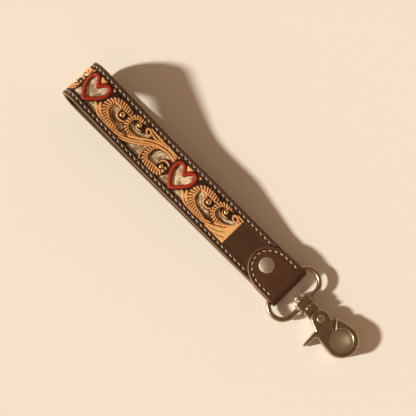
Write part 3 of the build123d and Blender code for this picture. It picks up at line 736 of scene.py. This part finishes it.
pattern = {
    "repeat": 68.8,
    "first": 20.9,
    "before": 8.9,
    "grid": 0.36,
    "raised": 0.5,
    "soft": 0.28,
    "heartStroke": 1.12,
    "fingerPitch": 1.58,
    "fingerGap": 0.3,
    "fingerSlant": 0.3,
    "fingerRoot": 0.72,
    "eyeRim": 0.45,
    "endReach": 18.0,
    "heartLeft": [
        (0.3, 2.8), (-1.2, 4.9), (-2.8, 6.7), (-4.6, 7.2), (-6.4, 6.2), (-7.1, 4.0), (-6.8, 1.6),
        (-5.6, -1.4), (-3.8, -4.0), (-2.0, -6.1), (-0.5, -7.3),
    ],
    "heartRight": [
        (0.3, 2.8), (1.6, 4.9), (3.2, 6.6), (5.0, 7.2), (6.6, 6.2), (7.2, 4.2), (7.0, 1.8), (5.6, -1.0),
        (3.6, -3.4), (1.6, -5.6), (-0.5, -7.3),
    ],
    # bands of carved fingers: along, across, half width
    "fans": [
        [
            (23.0, 5.9, 1.7), (19.5, 6.3, 1.9), (16.0, 6.1, 1.9), (13.0, 4.6, 2.0), (11.4, 1.9, 2.1),
            (11.3, -0.7, 2.1), (12.5, -3.2, 2.0), (15.5, -5.3, 1.8), (18.5, -6.2, 1.5), (21.5, -6.4, 1.2),
            (26.0, -6.1, 0.5),
        ],
        [
            (33.6, 8.3, 1.0), (30.5, 8.0, 1.1), (28.0, 7.2, 1.3), (26.5, 5.6, 1.4), (25.8, 3.4, 1.4),
            (25.9, 1.1, 1.3), (27.0, -1.0, 1.4), (29.5, -2.1, 1.2), (33.0, -2.0, 1.0), (36.5, -1.0, 0.8),
            (39.5, 0.8, 0.4),
        ],
        [
            (47.8, 3.7, 0.8), (46.1, 1.8, 1.1), (45.5, -0.6, 1.4), (45.5, -3.2, 1.5), (46.4, -5.5, 1.7),
            (48.5, -6.7, 1.9), (51.5, -6.8, 2.0), (54.5, -6.7, 2.0), (57.5, -6.1, 1.9), (59.8, -4.3, 1.3),
            (60.8, -2.3, 0.9),
        ],
    ],
    # plain carved strands: along, across, half width
    "strands": [
        [
            (5.7, -4.1, 0.5), (8.0, -5.6, 0.7), (11.0, -7.5, 0.55), (15.5, -8.3, 0.4), (21.5, -8.3, 0.4),
            (26.5, -7.8, 0.45), (30.5, -6.4, 0.5), (34.5, -4.3, 0.6), (38.5, -1.4, 0.55), (42.5, 1.7, 0.5),
            (46.5, 4.1, 0.45), (50.5, 5.3, 0.4), (54.5, 5.7, 0.4), (58.5, 5.3, 0.4), (61.2, 4.6, 0.35),
        ],
        [
            (6.6, -3.6, 0.3), (9.0, -5.0, 0.45), (12.0, -6.5, 0.35), (16.0, -7.3, 0.3), (21.5, -7.3, 0.3),
            (26.2, -6.7, 0.4), (30.0, -4.9, 0.6), (34.0, -2.6, 0.65), (38.0, 0.4, 0.6), (42.0, 3.4, 0.6),
            (46.0, 5.6, 0.55), (50.5, 6.9, 0.5), (54.5, 7.2, 0.5), (58.5, 6.6, 0.45), (61.5, 5.7, 0.35),
        ],
        [(8.2, -2.3, 0.7), (9.4, -4.0, 0.9), (12.0, -6.0, 0.5), (14.5, -7.0, 0.2)],
        [
            (28.5, -8.5, 0.3), (32.0, -7.1, 0.5), (36.0, -4.9, 0.6), (39.5, -2.4, 0.6), (42.8, 0.4, 0.5),
            (46.0, 2.9, 0.45), (49.5, 4.4, 0.4), (53.5, 5.0, 0.3),
        ],
        [(38.0, 8.4, 0.35), (42.0, 8.1, 0.5), (47.0, 7.9, 0.45), (53.0, 8.1, 0.4), (59.0, 7.7, 0.4)],
        [(39.6, 6.9, 0.35), (43.0, 6.1, 0.5), (46.0, 6.7, 0.4), (49.0, 7.3, 0.25)],
        [
            (13.0, 4.4, 0.3), (16.0, 4.4, 0.45), (18.0, 3.5, 0.5), (18.1, 1.2, 0.6), (19.4, -0.7, 0.6),
            (22.2, -1.1, 0.6), (24.4, 0.0, 0.4),
        ],
        [(31.5, 7.1, 0.3), (30.4, 5.4, 0.45), (30.9, 3.3, 0.5), (32.6, 2.5, 0.5), (34.6, 3.0, 0.3)],
        [
            (46.9, 4.4, 0.2), (44.5, 2.0, 0.3), (43.4, -0.8, 0.35), (43.2, -3.8, 0.35), (43.8, -6.6, 0.35),
            (45.0, -8.4, 0.3),
        ],
        [(54.2, -2.2, 0.3), (54.8, 0.2, 0.45), (57.0, 1.4, 0.5), (59.7, 0.7, 0.45), (61.4, -1.2, 0.3)],
        [(58.2, -1.6, 0.4), (59.6, -1.5, 0.5), (60.6, -2.4, 0.3)],
        [(58.0, -3.4, 0.3), (59.2, -3.4, 0.45), (60.0, -4.6, 0.3)],
        [(48.4, 3.9, 0.3), (51.5, 5.0, 0.4), (56.0, 5.1, 0.35), (60.0, 4.0, 0.3)],
    ],
    # carved leaves: closed outlines
    "leaves": [
        [(-2.1, 8.7), (2.7, 8.7), (1.2, 6.6), (0.3, 5.5), (-0.7, 6.7)],
        [(8.6, 7.2), (9.6, 8.6), (7.2, 8.8)],
        [(-9.4, 8.7), (-7.6, 8.7), (-8.2, 7.4), (-9.6, 7.6)],
    ],
    # rims round the small eyes: along, across, half length, half width, turn
    "eyes": [(38.3, 5.9, 1.25, 0.8, -30), (45.3, 8.6, 0.4, 0.2, 0)],
    # windows cut right through to the hide
    "windows": [
        [
            (13.5, 3.1), (17.0, 3.1), (17.1, 0.7), (18.8, -1.9), (22.3, -2.4), (24.6, -1.6), (26.0, -3.0),
            (28.9, -4.0), (33.2, -4.4), (29.5, -5.1), (24.5, -5.0), (19.5, -4.5), (16.0, -3.1),
            (14.1, -0.8), (13.3, 1.4),
        ],
        [
            (27.9, 3.7), (29.6, 2.3), (32.2, 1.5), (35.0, 2.2), (37.5, 3.6), (40.4, 4.0), (39.2, 2.2),
            (36.2, 0.4), (32.5, -0.5), (29.3, -0.3), (27.7, 1.3),
        ],
        [
            (42.4, -0.4), (40.0, -3.0), (37.0, -5.4), (33.6, -7.6), (33.4, -8.4), (43.2, -8.4),
            (42.5, -4.3), (42.6, -1.8),
        ],
        [
            (47.3, -1.0), (48.6, 1.8), (50.3, 3.4), (53.5, 4.2), (57.0, 4.3), (59.6, 3.2), (56.0, 2.3),
            (53.9, 0.4), (53.4, -2.4), (54.4, -4.4), (51.5, -4.6), (48.5, -4.0), (47.2, -2.7),
        ],
        [(-9.3, -8.4), (-8.0, -5.6), (-6.6, -3.4), (-5.2, -4.4), (-3.2, -6.9), (-2.4, -8.4)],
        [(1.0, -8.4), (3.2, -6.5), (4.9, -4.9), (6.3, -5.4), (8.6, -7.1), (10.4, -8.4)],
    ],
    # plain ground round the studs: along, across, radius
    "studRings": [(21.0, 1.9, 2.1), (31.9, 4.8, 1.8), (56.8, -2.5, 1.9)],
    # the panel's last millimetres on the upper ply: a plain leaf with veins
    "endLeaf": [
        (27.0, -9.5), (30.0, -7.0), (34.5, -4.6), (37.6, -1.6), (39.2, 1.6), (40.4, 4.6), (42.0, 7.2),
        (42.6, 9.5), (45.5, 9.5), (45.5, -9.5),
    ],
    "endVeins": [
        [(30.5, -7.6, 0.2), (34.0, -6.6, 0.25), (37.0, -5.0, 0.25), (39.4, -3.0, 0.15)],
        [(34.0, -8.4, 0.15), (38.0, -7.2, 0.2), (41.0, -5.6, 0.15)],
    ],
    "tan": (228, 140, 66),
    "ridge": (250, 178, 104),
    "ground": (34, 19, 10),
    "red": (186, 42, 6),
    "redDark": (104, 16, 4),
}


def smoothCurve(knots, steps=7):
    # A curve through the knots
    knots = np.array(knots, float)
    padded = np.vstack([2 * knots[0] - knots[1], knots, 2 * knots[-1] - knots[-2]])
    share = np.linspace(0, 1, steps, endpoint=False)[:, None]
    runs = []
    for a, b, c, d in zip(padded, padded[1:], padded[2:], padded[3:]):
        bow = (2 * a - 5 * b + 4 * c - d) * share**2 + (3 * b - a - 3 * c + d) * share**3
        runs.append(0.5 * (2 * b + (c - a) * share + bow))
    return np.vstack(runs + [knots[-1:]])


def nearStroke(at, knots):
    # Distance to a curve, distance along it, side (left positive) and its half width there
    curve = smoothCurve(knots)
    best = np.full(len(at), 1e9)
    run, side, half = np.zeros(len(at)), np.zeros(len(at)), np.zeros(len(at))
    gone = 0.0
    for a, b in zip(curve, curve[1:]):
        way = b[:2] - a[:2]
        length = np.hypot(*way)
        off = at - a[:2]
        share = np.clip(off @ way / length**2, 0, 1)
        gap = np.hypot(*(off - share[:, None] * way).T)
        nearer = gap < best
        best = np.where(nearer, gap, best)
        run = np.where(nearer, gone + share * length, run)
        left = np.sign(way[0] * off[:, 1] - way[1] * off[:, 0])
        side = np.where(nearer, left * gap, side)
        if len(a) > 2:
            half = np.where(nearer, a[2] + share * (b[2] - a[2]), half)
        gone += length
    return best, run, side, half


def insideOf(at, outline):
    # Signed distance to a closed outline, inside positive
    outline = np.array(outline, float)
    best = np.full(len(at), 1e9)
    crossings = np.zeros(len(at), int)
    for a, b in zip(outline, np.roll(outline, -1, axis=0)):
        way = b - a
        off = at - a
        share = np.clip(off @ way / (way @ way), 0, 1)
        best = np.minimum(best, np.hypot(*(off - share[:, None] * way).T))
        between = (a[1] > at[:, 1]) != (b[1] > at[:, 1])
        rise = way[1] if way[1] else 1e-9
        crossings += between & (at[:, 0] < a[0] + (at[:, 1] - a[1]) / rise * way[0])
    return np.where(crossings % 2 == 1, best, -best)


def closedCurve(knots):
    ring = smoothCurve(list(knots) + list(knots[:3]), 5)
    return ring[5 : 5 * (len(knots) + 1)]


def step(value, soft):
    share = np.clip(value / soft + 0.5, 0, 1)
    return share * share * (3 - 2 * share)


heartLine = [smoothCurve(pattern["heartLeft"]), smoothCurve(pattern["heartRight"])]
heartOutline = np.vstack([heartLine[0], heartLine[1][-2:0:-1]])


def patternAt(at, ending):
    # Leather left standing (above 0), relief, and how much of each colour
    soft = pattern["soft"]
    leftStroke = nearStroke(at, pattern["heartLeft"])[0]
    rightStroke = nearStroke(at, pattern["heartRight"])[0]
    stroke = pattern["heartStroke"] - np.minimum(leftStroke, rightStroke)
    inHeart = insideOf(at, heartOutline)
    opening = np.minimum(inHeart, -stroke)
    for knots in pattern["windows"]:
        opening = np.maximum(opening, insideOf(at, closedCurve(knots)))
    carved = np.full(len(at), -1e9)
    cuts = np.zeros(len(at))
    for knots in pattern["fans"]:
        gap, run, side, half = nearStroke(at, knots)
        shift = run + pattern["fingerSlant"] * side
        part = (shift / pattern["fingerPitch"]) % 1 - 0.5
        between = (0.5 - np.abs(part)) * pattern["fingerPitch"]
        reach = half * (1 - 0.9 * np.abs(part) ** 2 * (side < 0)) - gap
        rooted = side > pattern["fingerRoot"] * half
        finger = np.where(rooted, reach, np.minimum(reach, between - pattern["fingerGap"]))
        carved = np.maximum(carved, finger)
    for knots in pattern["strands"]:
        gap, run, side, half = nearStroke(at, knots)
        carved = np.maximum(carved, half - gap)
    for knots in pattern["leaves"]:
        carved = np.maximum(carved, insideOf(at, np.array(knots)))
    for x, y, long, wide, turn in pattern["eyes"]:
        off = at - (x, y)
        turned = np.stack(
            [
                off[:, 0] * cos(radians(turn)) + off[:, 1] * sin(radians(turn)),
                off[:, 1] * cos(radians(turn)) - off[:, 0] * sin(radians(turn)),
            ],
            1,
        )
        size = (np.hypot(turned[:, 0] / long, turned[:, 1] / wide) - 1) * wide
        rim = pattern["eyeRim"] - np.abs(size - pattern["eyeRim"])
        carved = np.where(size < 0, np.minimum(carved, size), np.maximum(carved, rim))
    leaf = np.where(ending, insideOf(at, pattern["endLeaf"]), -9.0)
    carved = np.maximum(carved, leaf)
    opening = np.minimum(opening, -leaf - 0.3)
    for knots in pattern["endVeins"]:
        gap, run, side, half = nearStroke(at, knots)
        cuts = np.maximum(cuts, np.exp(-((gap / half) ** 2)) * (leaf > 0))
    carved = np.minimum(carved, -0.35 - stroke)
    for x, y, reach in pattern["studRings"]:
        ring = np.hypot(at[:, 0] - x, at[:, 1] - y) - reach
        carved = np.where(ring < 0, np.minimum(carved, ring), carved)
        opening = np.minimum(opening, ring)
    carved = np.minimum(carved, -opening - 0.05)
    opening = np.minimum(opening, windowAcross - 0.45 - np.abs(at[:, 1]))
    tan = step(carved, soft) * (1 - 0.9 * cuts)
    crown = np.clip(carved / 0.6, 0, 1)
    red = step(stroke, soft)
    dome = np.sqrt(1 - (1 - np.clip(stroke / pattern["heartStroke"], 0, 1)) ** 2)
    height = np.maximum(step(carved, 0.4) * (0.75 + 0.25 * crown) * (1 - 0.7 * cuts), dome)
    return -opening, height, tan, red, crown


halfPanel = windowAcross - 0.1
panelRows = spaced(panelStart, panelStop, pattern["grid"])
panelColumns = spaced(-halfPanel, halfPanel, pattern["grid"])
panelSheet = gridSheet("tooledPanel", panelRows, panelColumns)
flat = points(panelSheet)


def patternPlace(along, across):
    # Along past the nearest heart's middle, from a little before it, and across
    begin = foldAlong + pattern["first"] - pattern["before"]
    return np.stack([(along - begin) % pattern["repeat"] - pattern["before"], across], 1)


at = patternPlace(flat[:, 0], flat[:, 1])
ending = flat[:, 0] > panelStop - pattern["endReach"]
standing = patternAt(at, ending)[0]
# Corners near a cut are moved onto it, so that the cuts run smoothly
nudge = 0.02
slopeAlong = (patternAt(at + (nudge, 0), ending)[0] - patternAt(at - (nudge, 0), ending)[0]) / (2 * nudge)
slopeAcross = (patternAt(at + (0, nudge), ending)[0] - patternAt(at - (0, nudge), ending)[0]) / (2 * nudge)
slope = np.maximum(slopeAlong**2 + slopeAcross**2, 0.25)
near = np.abs(standing) < 0.5 * pattern["grid"]
near &= np.abs(flat[:, 1]) < halfPanel - 0.01
near &= (flat[:, 0] > panelStart + 0.01) & (flat[:, 0] < panelStop - 0.01)
flat[near, 0] -= (standing * slopeAlong / slope)[near]
flat[near, 1] -= (standing * slopeAcross / slope)[near]
setPoints(panelSheet, flat)
standing = np.where(near, 0.0, standing)
cutFaces(panelSheet, standing < -0.02)
bpy.ops.object.mode_set(mode="EDIT")
bpy.ops.mesh.select_all(action="SELECT")
bpy.ops.mesh.delete_loose()
bpy.ops.object.mode_set(mode="OBJECT")


def panelTop(along, across):
    height = patternAt(patternPlace(along, across), along > panelStop - pattern["endReach"])[1]
    ends = np.minimum(halfPanel - np.abs(across), np.minimum(along - panelStart, panelStop - along))
    return strap["hide"] + strap["panel"] - pattern["raised"] * (1 - height) - 0.3 * roundedEdge(ends, 0.4)


def blend(first, last, share):
    first, last = np.array(pigment(*first)), np.array(pigment(*last))
    return first + (last - first) * share


along, across, below = layOn(panelSheet, strapLine, panelTop, lambda along, across: 0 * along + strap["hide"])
ending = along > panelStop - pattern["endReach"]
standing, height, tan, red, crown = patternAt(patternPlace(along, across), ending)
wander = np.array([noise.noise(Vector((a * 0.22, b * 0.5, 3))) for a, b in zip(along, across)])[:, None]
paint = np.tile(pigment(*pattern["ground"]), (len(along), 1))
tanHere = blend(pattern["tan"], pattern["ridge"], crown[:, None]) * (1 + 0.25 * wander)
paint = paint + (tanHere - paint) * tan[:, None]
redHere = blend(pattern["redDark"], pattern["red"], np.clip(height, 0, 1)[:, None] ** 2)
paint = paint + (redHere * (1 + 0.15 * wander) - paint) * red[:, None]
# painted shade: the dark ground is darkened by 30% towards the edges of the cuts down to the hide
side = np.clip(1 - np.maximum(standing, 0) / 0.3, 0, 1)[:, None] * (1 - red[:, None]) * (1 - tan[:, None])
paint = paint * (1 - 0.3 * side)
paint = np.where(below[:, None], np.array(pigment(150, 100, 66)), paint)
paint[:, 3] = 1
values(panelSheet, "paint", "FLOAT_COLOR", np.clip(paint, 0, 1))
only(panelSheet)
bpy.ops.object.shade_smooth_by_angle(angle=radians(48))
dressed(panelSheet, tooledLeather, "strap", "tooled_leather", "tooled_panel")

# ---- end tab

shoulderX = tabLow.x + tab["tipLength"]
upperTip = tabLine.alongAt(tabLow.x, 0, tabLine.rows[3][0] + strap["held"])
noseAlong = tabLine.rows[6][0] + tabLine.rows[6][1] / 2
lowerTip = tabLine.alongAt(tabLow.x, noseAlong + 12, tabLine.length)


def tabHalf(along, inset=0.0):
    # Half the tab's width where the line stands, with the half ellipse of its tips
    x = tabLine.place(along, 0)[0][:, 0]
    past = np.clip((shoulderX - x) / (tab["tipLength"] - inset), 0, 1)
    return (tabWidth / 2 - inset) * np.sqrt(1 - past**2)


def tipRows(tip, inward):
    # Rows that bunch towards a tip, so that its curve stays round
    shares = np.linspace(0, 1, tab["tipRows"] + 1)[1:]
    return [tip + inward * (0.02 + tab["tipReach"] * share**2) for share in shares]


firstRows = tipRows(upperTip, 1)
lastRows = tipRows(lowerTip, -1)[::-1]
tabRows = firstRows + list(spaced(firstRows[-1], lastRows[0], 0.6))[1:-1] + lastRows
tabColumns = mirrored([1.0, 0.985, 0.96, 0.92, 0.86, 0.8, 0.74, 0.6, 0.4, 0.2, 0.0])
tabSheet = gridSheet("endTab", tabRows, tabColumns)


def tabEdgeGap(along, across):
    half = tabHalf(along)
    fromSide = half * (1 - np.abs(across))
    x = tabLine.place(along, 0)[0][:, 0]
    slant = (shoulderX - x) / tab["tipLength"] ** 2 * tabWidth / 2 / np.maximum(half / (tabWidth / 2), 0.05)
    return fromSide / np.sqrt(1 + np.clip(slant, 0, 60) ** 2)


tabStitchEnd = tabLow.x + tab["seamLength"]


def tabStitched(along):
    x = tabLine.place(along, 0)[0][:, 0]
    return step(tabStitchEnd - x, 1.0)


def tabGroove(gap, along):
    return np.exp(-(((gap - stitch["inset"]) / stitch["tabGroove"]) ** 2)) * tabStitched(along)


def tabTop(along, across):
    gap = tabEdgeGap(along, across)
    edge = roundedEdge(gap, tab["edgeRound"])
    groove = tabGroove(gap, along)
    crease = tab["creaseDepth"] * np.exp(-(((gap - tab["creaseInset"]) / tab["creaseWidth"]) ** 2))
    sunk = np.minimum(edge + tab["dish"] * groove + crease, tab["thickness"] - 0.2)
    return strap["outer"] + tab["thickness"] - sunk


along, across, below = layOn(
    tabSheet, tabLine, tabTop, lambda along, across: 0 * along + strap["outer"] + 0.005, tabHalf
)
gap = tabEdgeGap(along, across)
# painted shade along the tab's stitch groove, partly pressed leather
values(tabSheet, "pressedAndShaded", "FLOAT", 0.6 * tabGroove(gap, along))
# painted highlight: a pale line along the tab's edges, partly burnished leather
values(tabSheet, "rim", "FLOAT", burnishAndSheenAt(gap) * (tabLine.place(along, 0)[0][:, 0] < noseX - 2))
only(tabSheet)
bpy.ops.object.shade_smooth_by_angle(angle=radians(50))
dressed(tabSheet, tabLeather, "strap", "tab_leather", "end_tab")

# ---- stitching

places = []
number = int(strapLine.length / stitch["pitch"])
outerFace = (strap["outer"] - stitch["pull"] + stitch["rise"], 1)
liningFace = (-strap["lining"] + stitch["liningSink"], -1)
coveredTo = strapLine.alongAt(tabLow.x, 0, strapLine.rows[4][0])
coveredFrom = strapLine.alongAt(tabLow.x, strapLine.rows[8][0], strapLine.length)
for index in range(-number, number):
    middle = stitchStart + (index + 0.5) * stitch["pitch"]
    if not 1.6 < middle < strapLine.length - 1.6:
        continue
    bare = coveredTo - stitch["underTab"] <= middle <= coveredFrom + stitch["underTab"]
    for hand in (-1, 1):
        for faceOut, up in [outerFace, liningFace] if bare else [liningFace]:
            spot, ahead, outward = strapLine.place([middle], [faceOut])
            ahead = Vector((ahead[0][0], 0, ahead[0][1]))
            outward = Vector((outward[0][0], 0, outward[0][1])) * up
            ahead = leaning(ahead, outward, -stitch["lean"] * up)
            places.append(((spot[0][0], hand * seamAcross, spot[0][1]), ahead, outward))
edgeRow = sewRow("edgeStitching", places)
dressed(edgeRow, threadWax, "strap", "thread", "edge_stitching")


def tabSeam(low, high, up):
    # Stitches round one flap, an inset inside its edge
    tip, half = tab["tipLength"] - stitch["inset"], tabWidth / 2 - stitch["inset"]
    turns = np.linspace(pi, pi / 2, 200)
    curve = np.stack([shoulderX + tip * np.cos(turns), half * np.sin(turns)], 1)
    curve = np.vstack([curve, [[x, half] for x in np.linspace(shoulderX, tabStitchEnd, 60)[1:]]])
    lengths = np.concatenate([[0], np.cumsum(np.hypot(*np.diff(curve, axis=0).T))])
    found = []
    for index in range(int(lengths[-1] / stitch["pitch"])):
        for hand in (-1, 1):
            run = (index + 0.5) * stitch["pitch"]
            x, y = (float(np.interp(run, lengths, curve[:, k])) for k in (0, 1))
            nextX, nextY = (float(np.interp(run + 0.3, lengths, curve[:, k])) for k in (0, 1))
            along = tabLine.alongAt(x, low, high)
            face = strap["outer"] + tab["thickness"] - tab["dish"] + 0.1
            spot, ahead, outward = tabLine.place([along], [face])
            outward = Vector((outward[0][0], 0, outward[0][1]))
            forward = Vector((ahead[0][0], 0, ahead[0][1])) * up
            way = forward * (nextX - x) + Vector((0, hand * (nextY - y), 0))
            way = leaning(way.normalized(), outward, -stitch["lean"])
            found.append(((spot[0][0], hand * y, spot[0][1]), way, outward))
    return found


topSeam = tabSeam(upperTip - 1, noseAlong, 1)
bottomSeam = tabSeam(noseAlong, tabLine.length, -1)
tabRow = sewRow("tabStitching", topSeam + bottomSeam)
dressed(tabRow, threadWax, "strap", "thread", "tab_stitching")

# ---- metal

metalWork = {
    # node: name, finish, body, slot, edge rounding in millimetres
    "oval_ring": ("ovalRing", antiqueNickel, "ring", "antique_nickel", 0.35),
    "hook_frame": ("hookFrame", antiqueNickel, "hook", "antique_nickel", 0.4),
    "trigger_lever": ("triggerLever", antiqueNickel, "lever", "antique_nickel", 0.4),
    "swivel_pin": ("swivelPin", brightNickel, "hook", "nickel", 0.15),
    "pivot_rivet": ("pivotRivet", brightNickel, "hook", "nickel", 0.1),
    "rivet_cap": ("rivetCap", capNickel, "strap", "antique_nickel", 0.12),
    "rivet_back_cap": ("rivetBackCap", capNickel, "strap", "antique_nickel", 0.1),
}
for node, (name, finish, body, slot, rounding) in metalWork.items():
    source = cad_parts[node]
    piece = source.copy()
    piece.data = source.data.copy()
    piece.name = piece.data.name = name
    bpy.context.collection.objects.link(piece)
    inEdit(
        piece,
        lambda: bpy.ops.mesh.select_all(action="SELECT"),
        lambda: bpy.ops.mesh.remove_doubles(threshold=0.000002),
        lambda: bpy.ops.mesh.dissolve_limited(angle_limit=radians(0.4)),
    )
    modified(
        piece, "BEVEL", width=rounding * 0.001, segments=3, limit_method="ANGLE", angle_limit=radians(32),
        harden_normals=False, use_clamp_overlap=True,
    )
    bpy.ops.object.shade_smooth_by_angle(angle=radians(35))
    dressed(piece, finish, body, slot, node)

for node, finish in (
    ("front_studs", studBrass),
    ("back_studs", studBrass),
    ("rivet_post", brightNickel),
    ("torsion_spring", springSteel),
):
    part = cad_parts[node]
    part.data.materials.clear()
    part.data.materials.append(finish)

# ---- floor, light and camera

bpy.ops.mesh.primitive_plane_add(size=6)
floor = taken("floor")
paper = Finish("floorPaper", Base_Color=(*room["floor"], 1), Roughness=0.9)
floor.data.materials.append(paper.material)

sun = bpy.data.objects.new("sun", bpy.data.lights.new("sun", "SUN"))
bpy.context.collection.objects.link(sun)
sun.data.color = room["sunColour"]
sun.data.energy = room["sunStrength"]
sun.data.angle = radians(room["sunWidth"])
elevation = radians(room["sunElevation"])
heading = Vector((*room["sunHeading"], 0))
toSun = heading * cos(elevation) + Vector((0, 0, sin(elevation)))
sun.rotation_euler = toSun.to_track_quat("Z", "Y").to_euler()

world = bpy.data.worlds.new("room")
bpy.context.scene.world = world
sky = Finish("sky", owner=world)
upwards = sky.node("ShaderNodeTexCoord", {}, {}, "Generated")
upwards = sky.node("ShaderNodeSeparateXYZ", {}, {0: upwards}, "Z")
low = (1 - upwards.math("ABSOLUTE", upwards, 0)) ** room["horizonShare"]
sky.feed(Color=sky.mix(low, (*room["overhead"], 1), (*room["horizon"], 1)))

view = {
    "eye": (68.01, -71.38, 483.2),
    "aim": (-4.87, 0.99, 0.0),
    "lens": 75.45,
}
camera = bpy.data.objects.new("camera", bpy.data.cameras.new("camera"))
bpy.context.collection.objects.link(camera)
camera.data.lens = view["lens"]
camera.data.sensor_width = 36
camera.data.clip_start = 0.01
camera.location = Vector(view["eye"]) * 0.001
camera.rotation_euler = (Vector(view["eye"]) - Vector(view["aim"])).to_track_quat("Z", "Y").to_euler()
bpy.context.scene.camera = camera
bpy.context.scene.view_settings.view_transform = "Standard"
